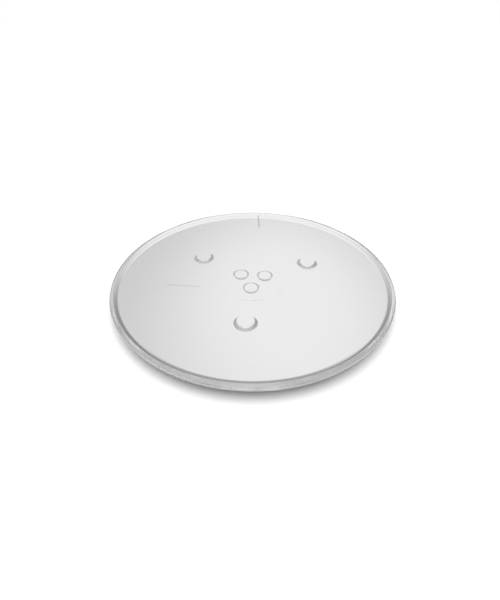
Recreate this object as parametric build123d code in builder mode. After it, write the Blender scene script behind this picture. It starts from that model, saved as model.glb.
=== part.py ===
"""Microwave turntable plate: one piece of clear pressed glass, in millimetres.

The plate stands on its feet on the XY plane, with its turning axis on +Z. Food rests
on the flat field inside the raised rim. Underneath, rollers run on a track ended by a
low ridge, and the arms of the oven's coupler turn the plate by its round drive lugs.
"""

import os
from math import hypot, radians, tan

from build123d import *

# Flat field
plate_diameter = 270.0
field_thickness = 5.5

# Rim: a wall that flares up from the field to a level lip
rim_rise = 4.0
wall_run = 5.0
wall_root_radius = 4.0
lip_width = 4.5
lip_radius = 2.0
outer_wall_run = 6.6
heel_radius = 4.0

# Edge of the lip, drafted both ways from the mould's parting seam, where it is widest
edge_depth = 3.6
seam_depth = 2.0
edge_draft_above = 22.0
edge_draft_below = 15.0
edge_radius = 1.6

# Low ridge that ends the roller track, measured inwards from the heel
ridge_inset = 20.2
ridge_width = 6.6
ridge_height = 0.3

# Hub pad under the centre, and the lugs on it that the coupler drives
hub_diameter = 71.5
hub_height = 0.3
hub_edge_run = 1.5
lug_count = 3
lug_circle = 28.0
lug_diameter = 14.0
lug_height = 4.0
lug_chamfer = 0.8

# Domed feet that the plate stands on out of the oven, in line with the lugs
foot_count = 3
foot_circle = 128.0
foot_diameter = 21.0
foot_end_diameter = 9.0
foot_height = 5.0
first_foot_angle = 25.0

# Heights of the main faces, from the plane of the foot ends
underside_z = foot_height
hub_z = underside_z - hub_height
field_z = underside_z + field_thickness
lip_z = field_z + rim_rise
seam_z = lip_z - seam_depth
edge_z = lip_z - edge_depth

# Radii of the section
rim_r = plate_diameter / 2
lip_r = rim_r - lip_width
field_r = lip_r - wall_run
lip_end_r = rim_r - seam_depth * tan(radians(edge_draft_above))
edge_r = rim_r - (edge_depth - seam_depth) * tan(radians(edge_draft_below))
heel_r = edge_r - outer_wall_run
ridge_r = heel_r - ridge_inset
hub_r = hub_diameter / 2

# A foot is a ball zone: this is how high the ball's centre stands above the foot's end
foot_r = foot_diameter / 2
foot_end_r = foot_end_diameter / 2
ball_z = (foot_r**2 - foot_end_r**2 + foot_height**2) / (2 * foot_height)
ball_r = hypot(foot_end_r, ball_z)

with BuildPart() as foot:
    with Locations((0, 0, ball_z)):
        Sphere(ball_r)
    split(bisect_by=Plane.XY, keep=Keep.TOP)
    split(bisect_by=Plane.XY.offset(underside_z), keep=Keep.BOTTOM)

with BuildPart() as turntable_plate:
    # The pressed dish: hub pad, track and ridge, out to the edge, over the lip and back along the field
    with BuildSketch(Plane.XZ):
        with BuildLine():
            skin = FilletPolyline(
                (0, hub_z),
                (hub_r - hub_edge_run, hub_z),
                (hub_r, underside_z),
                (ridge_r - ridge_width, underside_z),
                (ridge_r - ridge_width / 2, underside_z - ridge_height),
                (ridge_r, underside_z),
                (heel_r, underside_z),
                (edge_r, edge_z),
                (rim_r, seam_z),
                (lip_end_r, lip_z),
                (lip_r, lip_z),
                (field_r, field_z),
                (0, field_z),
                radius=[0, 0, 0, 0, 0, heel_radius, 0, 0, edge_radius, lip_radius, wall_root_radius],
            )
            Line(skin @ 1, skin @ 0)
        make_face()
    revolve(axis=Axis.Z)

    # Round drive lugs, broken at the end edge
    with BuildSketch(Plane.XY.offset(hub_z)):
        with PolarLocations(lug_circle / 2, lug_count, start_angle=first_foot_angle):
            Circle(lug_diameter / 2)
    extrude(amount=-lug_height)
    chamfer(turntable_plate.edges(Select.LAST).group_by(Axis.Z)[0], lug_chamfer)

    with PolarLocations(foot_circle / 2, foot_count, start_angle=first_foot_angle):
        add(foot.part)

turntable_plate.part.label = "turntable_plate"

os.makedirs("parts", exist_ok=True)
export_step(turntable_plate.part, "parts/turntable_plate.step")
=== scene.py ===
"""Microwave turntable plate of clear pressed glass, standing on its feet on a white table."""

from math import acos, atan2, ceil, cos, hypot, pi, radians, sin, tan

import bmesh
import bpy
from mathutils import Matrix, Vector


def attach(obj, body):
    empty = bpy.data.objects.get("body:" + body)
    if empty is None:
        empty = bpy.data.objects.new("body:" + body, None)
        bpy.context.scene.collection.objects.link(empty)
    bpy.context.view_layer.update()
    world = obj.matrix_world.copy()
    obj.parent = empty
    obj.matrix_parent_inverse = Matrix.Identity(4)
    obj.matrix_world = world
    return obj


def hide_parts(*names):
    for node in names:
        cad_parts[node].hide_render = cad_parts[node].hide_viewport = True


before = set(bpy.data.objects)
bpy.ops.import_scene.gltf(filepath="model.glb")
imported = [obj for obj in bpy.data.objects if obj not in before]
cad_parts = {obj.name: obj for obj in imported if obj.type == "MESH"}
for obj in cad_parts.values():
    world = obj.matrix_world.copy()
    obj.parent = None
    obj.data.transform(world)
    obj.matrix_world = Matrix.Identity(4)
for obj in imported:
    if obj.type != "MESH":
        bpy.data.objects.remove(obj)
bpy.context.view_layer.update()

# Turntable plate
# One gob of clear soda-lime glass, pressed in an iron mould and fire-polished. The plunger leaves
# the field and the flared rim, and the mould leaves the roller ridge, the hub pad with its three
# round drive lugs, and the three domed feet underneath. Nothing is fixed to it.

MM = 0.001
TURN = 2 * pi
RIM_STEPS = 720
BUTTON_STEPS = 96
ARC_STEP = radians(7)
LEAST_ARC_STEPS = 3
SAME_LEVEL_MM = 1e-4

UNDERSIDE_Z = 5.0
HUB_Z = 4.7
FIELD_Z = 10.5
LIP_Z = 14.5
LUG_END_Z = 0.7
FOOT_END_Z = 0.0
BUTTON_COUNT = 3
FIRST_ANGLE = radians(25)
LUG_CIRCLE_R = 14.0
FOOT_CIRCLE_R = 64.0

# Corners of the plate's section in millimetres, from the hub pad out under the plate and back over
# the rim: radius from the axis, height, and the radius that the mould's corner leaves in the glass
HUB_SIDE = [(30.0, HUB_Z, 0), (34.25, HUB_Z, 4.0), (35.75, UNDERSIDE_Z, 4.0), (40.0, UNDERSIDE_Z, 0)]
RIM_SIDE = [
    (98.0, UNDERSIDE_Z, 0),
    (101.12, UNDERSIDE_Z, 30.0),
    (104.42, 4.8, 30.0),
    (107.72, UNDERSIDE_Z, 30.0),
    (127.22, UNDERSIDE_Z, 4.0),
    (134.22, 9.6, 0.9),
    (135.0, 12.5, 1.0),
    (134.19, LIP_Z, 1.6),
    (131.2, LIP_Z, 1.0),
    (126.6, FIELD_Z, 7.0),
    (112.0, FIELD_Z, 0),
]
# The same for a lug and a foot, with the radius from their own axis
LUG_SIDE = [(10.4, HUB_Z, 0), (7.0, HUB_Z, 2.0), (7.0, LUG_END_Z, 1.2), (3.5, LUG_END_Z, 0)]
FOOT_SIDE = [
    (13.5, UNDERSIDE_Z, 0),
    (10.5, UNDERSIDE_Z, 1.5),
    (8.33, 1.5, 9.0),
    (4.5, FOOT_END_Z, 2.0),
    (2.0, FOOT_END_Z, 0),
]


def rounded(corners):
    """Points through a section's corners, with an arc at each corner that has a radius."""
    points = []
    for i, (r, z, radius) in enumerate(corners):
        here = Vector((r, z))
        if not radius:
            points.append(here)
            continue
        back = (Vector(corners[i - 1][:2]) - here).normalized()
        on = (Vector(corners[i + 1][:2]) - here).normalized()
        turned = pi - acos(max(-1.0, min(1.0, back.dot(on))))
        reach = radius * tan(turned / 2)
        centre = here + (back + on).normalized() * hypot(radius, reach)
        start = here + back * reach - centre
        turn_sign = 1 if back.x * on.y - back.y * on.x < 0 else -1
        steps = max(LEAST_ARC_STEPS, ceil(turned / ARC_STEP))
        for k in range(steps + 1):
            a = turn_sign * turned * k / steps
            out = start.x * cos(a) - start.y * sin(a)
            up = start.x * sin(a) + start.y * cos(a)
            points.append(centre + Vector((out, up)))
    return points


def turned_skin(mesh, section, centre, steps):
    """Turns a section about an upright axis, and leaves both of its ends open."""
    angles = [TURN * k / steps for k in range(steps)]
    rings = []
    for p in section:
        places = [(centre[0] + p.x * cos(a), centre[1] + p.x * sin(a), p.y) for a in angles]
        rings.append([mesh.verts.new(place) for place in places])
    for ring, following in zip(rings, rings[1:]):
        for k in range(steps):
            after = (k + 1) % steps
            mesh.faces.new((ring[k], ring[after], following[after], following[k]))


def on_circle(radius, k):
    """Place of the k-th lug or foot on a circle round the plate's axis."""
    angle = FIRST_ANGLE + k * TURN / BUTTON_COUNT
    return radius * cos(angle), radius * sin(angle)


plate_mesh = bmesh.new()
turned_skin(plate_mesh, rounded(HUB_SIDE), (0, 0), RIM_STEPS)
turned_skin(plate_mesh, rounded(RIM_SIDE), (0, 0), RIM_STEPS)
for k in range(BUTTON_COUNT):
    turned_skin(plate_mesh, rounded(LUG_SIDE), on_circle(LUG_CIRCLE_R, k), BUTTON_STEPS)
    turned_skin(plate_mesh, rounded(FOOT_SIDE), on_circle(FOOT_CIRCLE_R, k), BUTTON_STEPS)

# Flat faces close the skins: the field, the track with the feet in it, the hub pad, and the ends
for level in (FIELD_Z, UNDERSIDE_Z, HUB_Z, LUG_END_Z, FOOT_END_Z):
    open_edges = [e for e in plate_mesh.edges if e.is_boundary]
    rims = [e for e in open_edges if abs(e.verts[0].co.z - level) < SAME_LEVEL_MM]
    facing = (0, 0, 1 if level == FIELD_Z else -1)
    bmesh.ops.triangle_fill(plate_mesh, edges=rims, use_beauty=True, normal=facing)
bmesh.ops.recalc_face_normals(plate_mesh, faces=plate_mesh.faces)
bmesh.ops.scale(plate_mesh, vec=(MM, MM, MM), verts=plate_mesh.verts)
for face in plate_mesh.faces:
    face.smooth = True

plate_data = bpy.data.meshes.new("turntable_plate_glass")
plate_mesh.to_mesh(plate_data)
plate_mesh.free()
plate = bpy.data.objects.new("turntable_plate_glass", plate_data)
bpy.context.scene.collection.objects.link(plate)
# The wide flat faces set the shading, so that only the blends between them look round
FLAT_FACE_WEIGHT = 100
flats = plate.modifiers.new("flats_stay_flat", "WEIGHTED_NORMAL")
flats.mode = "FACE_AREA"
flats.weight = FLAT_FACE_WEIGHT


def srgb(code):
    """Linear colour of an sRGB hex code."""
    parts = [int(code[i : i + 2], 16) / 255 for i in (1, 3, 5)]
    return (*[c / 12.92 if c <= 0.04045 else ((c + 0.055) / 1.055) ** 2.4 for c in parts], 1.0)


def add_node(tree, kind, inputs, **settings):
    """Adds one node with its settings, and links or sets its inputs. A node gives its first output."""
    node = tree.nodes.new(kind)
    for name, value in settings.items():
        setattr(node, name, value)
    for socket, value in inputs.items():
        if isinstance(value, bpy.types.Node):
            value = value.outputs[0]
        if isinstance(value, bpy.types.NodeSocket):
            tree.links.new(value, node.inputs[socket])
        else:
            node.inputs[socket].default_value = value
    return node


def fine_mark(tree, spot, start, end, half_width, strength):
    """How strong one straight mark is: most along its middle, none past its sides and ends."""
    run = Vector(end) - Vector(start)
    laid = add_node(
        tree,
        "ShaderNodeMapping",
        {
            "Vector": spot,
            "Location": (start[0] * MM, start[1] * MM, 0),
            "Rotation": (0, 0, atan2(run.y, run.x)),
            "Scale": (run.length * MM, half_width * MM, 1),
        },
        vector_type="TEXTURE",
    )
    ways = add_node(tree, "ShaderNodeSeparateXYZ", {"Vector": laid})
    middle = half_run = 0.5
    along = add_node(
        tree, "ShaderNodeMath", {0: ways.outputs["X"], 1: middle, 2: half_run}, operation="COMPARE"
    )
    aside = add_node(tree, "ShaderNodeMath", {0: ways.outputs["Y"]}, operation="ABSOLUTE")
    within = add_node(tree, "ShaderNodeMath", {0: 1.0, 1: aside}, operation="SUBTRACT", use_clamp=True)
    line = add_node(tree, "ShaderNodeMath", {0: along, 1: within}, operation="MULTIPLY")
    return add_node(tree, "ShaderNodeMath", {0: line, 1: strength}, operation="MULTIPLY")


# Pressed soda-lime glass: clear and neutral, so the eye gets the table through it, bent and doubled
# at the rim. The mould leaves a trace of haze and the plunger a slow swell, and use has left two
# fine grey marks on top, which are drawn wide enough to show.
CLEAR = "#F8F9F8"
MARK_GREY = "#8C8C8C"
MOULD_HAZE = 0.05
GLASS_IOR = 1.52
SWELL_MM, SWELL_RISE_MM = 28, 0.004
MARKS_ABOVE_MM = 8
# Start, end and half width of each mark in millimetres, and its strength
WALL_MARK = ((7.3, 129.0), (8.4, 101.0), 1.5, 0.95)
FIELD_MARK = ((-82.0, -15.0), (-50.0, -18.0), 1.0, 0.6)

pressed_glass = bpy.data.materials.new("pressed_soda_lime_glass")
pressed_glass.use_nodes = True
glass = pressed_glass.node_tree
glass.nodes.clear()
place = add_node(glass, "ShaderNodeTexCoord", {}).outputs["Object"]
swell = add_node(
    glass, "ShaderNodeTexNoise", {"Vector": place, "Scale": 1 / (SWELL_MM * MM), "Detail": 1.0}
)
swell_relief = add_node(
    glass,
    "ShaderNodeBump",
    {"Height": swell.outputs["Fac"], "Strength": 1.0, "Distance": SWELL_RISE_MM * MM},
)
wall_mark = fine_mark(glass, place, *WALL_MARK)
field_mark = fine_mark(glass, place, *FIELD_MARK)
marks = add_node(glass, "ShaderNodeMath", {0: wall_mark, 1: field_mark}, operation="MAXIMUM")
height = add_node(glass, "ShaderNodeSeparateXYZ", {"Vector": place}).outputs["Z"]
on_top = add_node(glass, "ShaderNodeMath", {0: height, 1: MARKS_ABOVE_MM * MM}, operation="GREATER_THAN")
worn = add_node(glass, "ShaderNodeMath", {0: marks, 1: on_top}, operation="MULTIPLY")
# Inputs 6 and 7 of this node and its output 2 are those for colours
tint = add_node(glass, "ShaderNodeMix", {0: worn, 6: srgb(CLEAR), 7: srgb(MARK_GREY)}, data_type="RGBA")
body = add_node(
    glass,
    "ShaderNodeBsdfPrincipled",
    {
        "Normal": swell_relief,
        "Base Color": tint.outputs[2],
        "Roughness": MOULD_HAZE,
        "IOR": GLASS_IOR,
        "Transmission Weight": 1.0,
    },
)
add_node(glass, "ShaderNodeOutputMaterial", {"Surface": body})
plate_data.materials.append(pressed_glass)
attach(plate, "root")
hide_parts("turntable_plate")

# Table
# A wide sheet of matt white card that the plate stands on. It is laid flat, and it runs out of
# sight on all sides.

TABLE_HALF_M = 30.0
TABLE_DROP_MM = 0.2
table_mesh = bmesh.new()
bmesh.ops.create_grid(table_mesh, x_segments=1, y_segments=1, size=TABLE_HALF_M)
table_data = bpy.data.meshes.new("white_table")
table_mesh.to_mesh(table_data)
table_mesh.free()
table = bpy.data.objects.new("white_table", table_data)
table.location.z = -TABLE_DROP_MM * MM
bpy.context.scene.collection.objects.link(table)


def ray_kinds(tree):
    """Whether a ray comes straight from the camera, and whether it comes by way of the glass."""
    path = add_node(tree, "ShaderNodeLightPath", {})
    glass_kinds = {0: path.outputs["Is Glossy Ray"], 1: path.outputs["Is Transmission Ray"]}
    by_glass = add_node(tree, "ShaderNodeMath", glass_kinds, operation="MAXIMUM")
    return path.outputs["Is Camera Ray"], by_glass


def ring_fade(tree, offset, near, far, at_near, at_far):
    """A tone that eases from one level to another between two rings, in millimetres."""
    reach = add_node(tree, "ShaderNodeVectorMath", {0: offset}, operation="LENGTH")
    return add_node(
        tree,
        "ShaderNodeMapRange",
        {
            "Value": reach.outputs["Value"],
            "From Min": near * MM,
            "From Max": far * MM,
            "To Min": at_near,
            "To Max": at_far,
        },
        interpolation_type="SMOOTHSTEP",
    )


# White card: plain and matt where the camera sees it. Through the glass it shows painted light in
# place of its own shading: a painted pool of light for what the plate lets down on it, brightest
# right of the middle, a painted ring of shade under the rim, deepest in front, and the open card beyond
# the rim.
CARD_WHITE = "#E7E7E7"
CARD_LIFT = 0.03
# Painted light: where the painted pool sits and fades, and where the painted ring of shade runs
POOL_SQUASH = (1, 0.6, 0)
POOL_SHIFT = (-30 * MM, 12 * MM, 0)
POOL_RINGS_MM, POOL_TONES = (30, 175), (0.92, 0.64)
BEYOND_RINGS_MM, BEYOND_TONE = (134, 140), 0.97
SHADE_SHIFT = (0, -12.6 * MM, 0)
SHADE_START_MM, SHADE_END_MM = (134.5, 139), (143, 157)
SHADE_REACH_MM, SHADE_IN_FRONT, SHADE_BEHIND = 130, 0.8, 0.06

white_card = bpy.data.materials.new("matt_white_card")
white_card.use_nodes = True
card = white_card.node_tree
card.nodes.clear()
to_camera, by_glass = ray_kinds(card)
spot = add_node(card, "ShaderNodeTexCoord", {}).outputs["Object"]
# Painted pool of light and painted ring of shade, seen only by rays that come through the glass
from_pool = add_node(
    card, "ShaderNodeVectorMath", {0: spot, 1: POOL_SQUASH, 2: POOL_SHIFT}, operation="MULTIPLY_ADD"
)
pool = ring_fade(card, from_pool, *POOL_RINGS_MM, *POOL_TONES)
beyond = ring_fade(card, spot, *BEYOND_RINGS_MM, 0, 1)
open_card = add_node(card, "ShaderNodeMix", {"Factor": beyond, "A": pool, "B": BEYOND_TONE})
from_shade = add_node(card, "ShaderNodeVectorMath", {0: spot, 1: SHADE_SHIFT}, operation="ADD")
shade_start = ring_fade(card, from_shade, *SHADE_START_MM, 0, 1)
shade_end = ring_fade(card, from_shade, *SHADE_END_MM, 1, 0)
painted_shade_ring = add_node(card, "ShaderNodeMath", {0: shade_start, 1: shade_end}, operation="MULTIPLY")
shade_depth = add_node(
    card,
    "ShaderNodeMapRange",
    {
        "Value": add_node(card, "ShaderNodeSeparateXYZ", {"Vector": spot}).outputs["Y"],
        "From Min": -SHADE_REACH_MM * MM,
        "From Max": SHADE_REACH_MM * MM,
        "To Min": SHADE_IN_FRONT,
        "To Max": SHADE_BEHIND,
    },
    interpolation_type="SMOOTHSTEP",
)
shaded = add_node(card, "ShaderNodeMath", {0: painted_shade_ring, 1: shade_depth}, operation="MULTIPLY")
unshaded = add_node(card, "ShaderNodeMath", {0: 1.0, 1: shaded}, operation="SUBTRACT")
painted_pool_and_shade_level = add_node(card, "ShaderNodeMath", {0: unshaded, 1: open_card}, operation="MULTIPLY")
# The card glows with this painted pool and shade for rays through the glass, in place of its lit shading
painted_pool_and_shade = add_node(card, "ShaderNodeEmission", {"Strength": painted_pool_and_shade_level})
lift = add_node(card, "ShaderNodeMath", {0: to_camera, 1: CARD_LIFT}, operation="MULTIPLY")
gleam = add_node(card, "ShaderNodeEmission", {"Strength": lift})
matt = add_node(card, "ShaderNodeBsdfDiffuse", {"Color": srgb(CARD_WHITE)})
lit = add_node(card, "ShaderNodeAddShader", {0: matt, 1: gleam})
both = add_node(card, "ShaderNodeMixShader", {0: by_glass, 1: lit, 2: painted_pool_and_shade})
add_node(card, "ShaderNodeOutputMaterial", {"Surface": both})
table_data.materials.append(white_card)

# Studio light
# A white tent, brightest overhead and behind the plate, and a wide soft box over it. The tent shows
# lighter in the glass than it lights the table, where it would wash out the plate's shadow, and the
# camera sees it plain white.

TENT_WHITE = "#FFFFFF"
# The way that a ray points, where along it the tone starts and stops to ease, and the levels there
SIDES = ("X", -0.6, 0.6, 0.17, 0.27)
OVERHEAD = ("Z", 0.7, 1.0, 0.0, 0.6)
BEHIND = ("Y", 0.3, 0.95, 0.0, 1.0)
SIDES_IN_GLASS = 0.23
ROOF_TONE = 0.9
BACK_TONE = 0.82
TABLE_SHARE = 0.24
ADDED_GLASS_SHARE = 0.56
SOFTBOX_STRENGTH = 3.9
SOFTBOX_ANGLE = radians(66)
SOFTBOX_FROM = (0.0, -0.06, 1.0)

studio = bpy.data.worlds.new("white_tent")
studio.use_nodes = True
bpy.context.scene.world = studio
tent = studio.node_tree
tent.nodes.clear()
look = add_node(tent, "ShaderNodeTexCoord", {}).outputs["Generated"]
ways_out = add_node(tent, "ShaderNodeSeparateXYZ", {"Vector": look})
sides, overhead, behind = [
    add_node(
        tent,
        "ShaderNodeMapRange",
        {
            "Value": ways_out.outputs[way],
            "From Min": start,
            "From Max": stop,
            "To Min": at_start,
            "To Max": at_stop,
        },
        interpolation_type="SMOOTHSTEP",
    )
    for way, start, stop, at_start, at_stop in (SIDES, OVERHEAD, BEHIND)
]
to_camera, by_glass = ray_kinds(tent)
sides_seen = add_node(
    tent, "ShaderNodeMath", {0: by_glass, 1: SIDES_IN_GLASS, 2: sides}, operation="MULTIPLY_ADD"
)
with_roof = add_node(tent, "ShaderNodeMix", {"Factor": overhead, "A": sides_seen, "B": ROOF_TONE})
with_back = add_node(tent, "ShaderNodeMix", {"Factor": behind, "A": with_roof, "B": BACK_TONE})
share = add_node(
    tent, "ShaderNodeMath", {0: by_glass, 1: ADDED_GLASS_SHARE, 2: TABLE_SHARE}, operation="MULTIPLY_ADD"
)
shared = add_node(tent, "ShaderNodeMath", {0: with_back, 1: share}, operation="MULTIPLY")
tone = add_node(tent, "ShaderNodeMix", {"Factor": to_camera, "A": shared, "B": 1.0})
air = add_node(tent, "ShaderNodeBackground", {"Color": srgb(TENT_WHITE), "Strength": tone})
add_node(tent, "ShaderNodeOutputWorld", {"Surface": air})

softbox_data = bpy.data.lights.new("overhead_softbox", "SUN")
softbox_data.energy = SOFTBOX_STRENGTH
softbox_data.angle = SOFTBOX_ANGLE
softbox = bpy.data.objects.new("overhead_softbox", softbox_data)
softbox.rotation_euler = Vector(SOFTBOX_FROM).to_track_quat("Z", "Y").to_euler()
softbox.visible_glossy = False
softbox.visible_transmission = False
bpy.context.scene.collection.objects.link(softbox)

# Camera
# It stands where the photograph was taken from, close to the plate and with a wide lens. The rim
# leads light along inside it, so rays get many bounces.

LENS_MM = 19.85
SENSOR_MM = 36.0
CAMERA_PLACE = (0.0, -0.26751, 0.20458)
CAMERA_TILT = (radians(49.839), radians(0.079), radians(0.431))
LIGHT_BOUNCES = 40

camera_data = bpy.data.cameras.new("camera")
camera_data.lens = LENS_MM
camera_data.sensor_width = SENSOR_MM
camera = bpy.data.objects.new("camera", camera_data)
camera.location = CAMERA_PLACE
camera.rotation_euler = CAMERA_TILT
bpy.context.scene.collection.objects.link(camera)
bpy.context.scene.camera = camera
bpy.context.scene.cycles.max_bounces = LIGHT_BOUNCES
bpy.context.scene.cycles.transmission_bounces = LIGHT_BOUNCES
bpy.context.scene.cycles.glossy_bounces = LIGHT_BOUNCES
bpy.context.scene.view_settings.view_transform = "Standard"
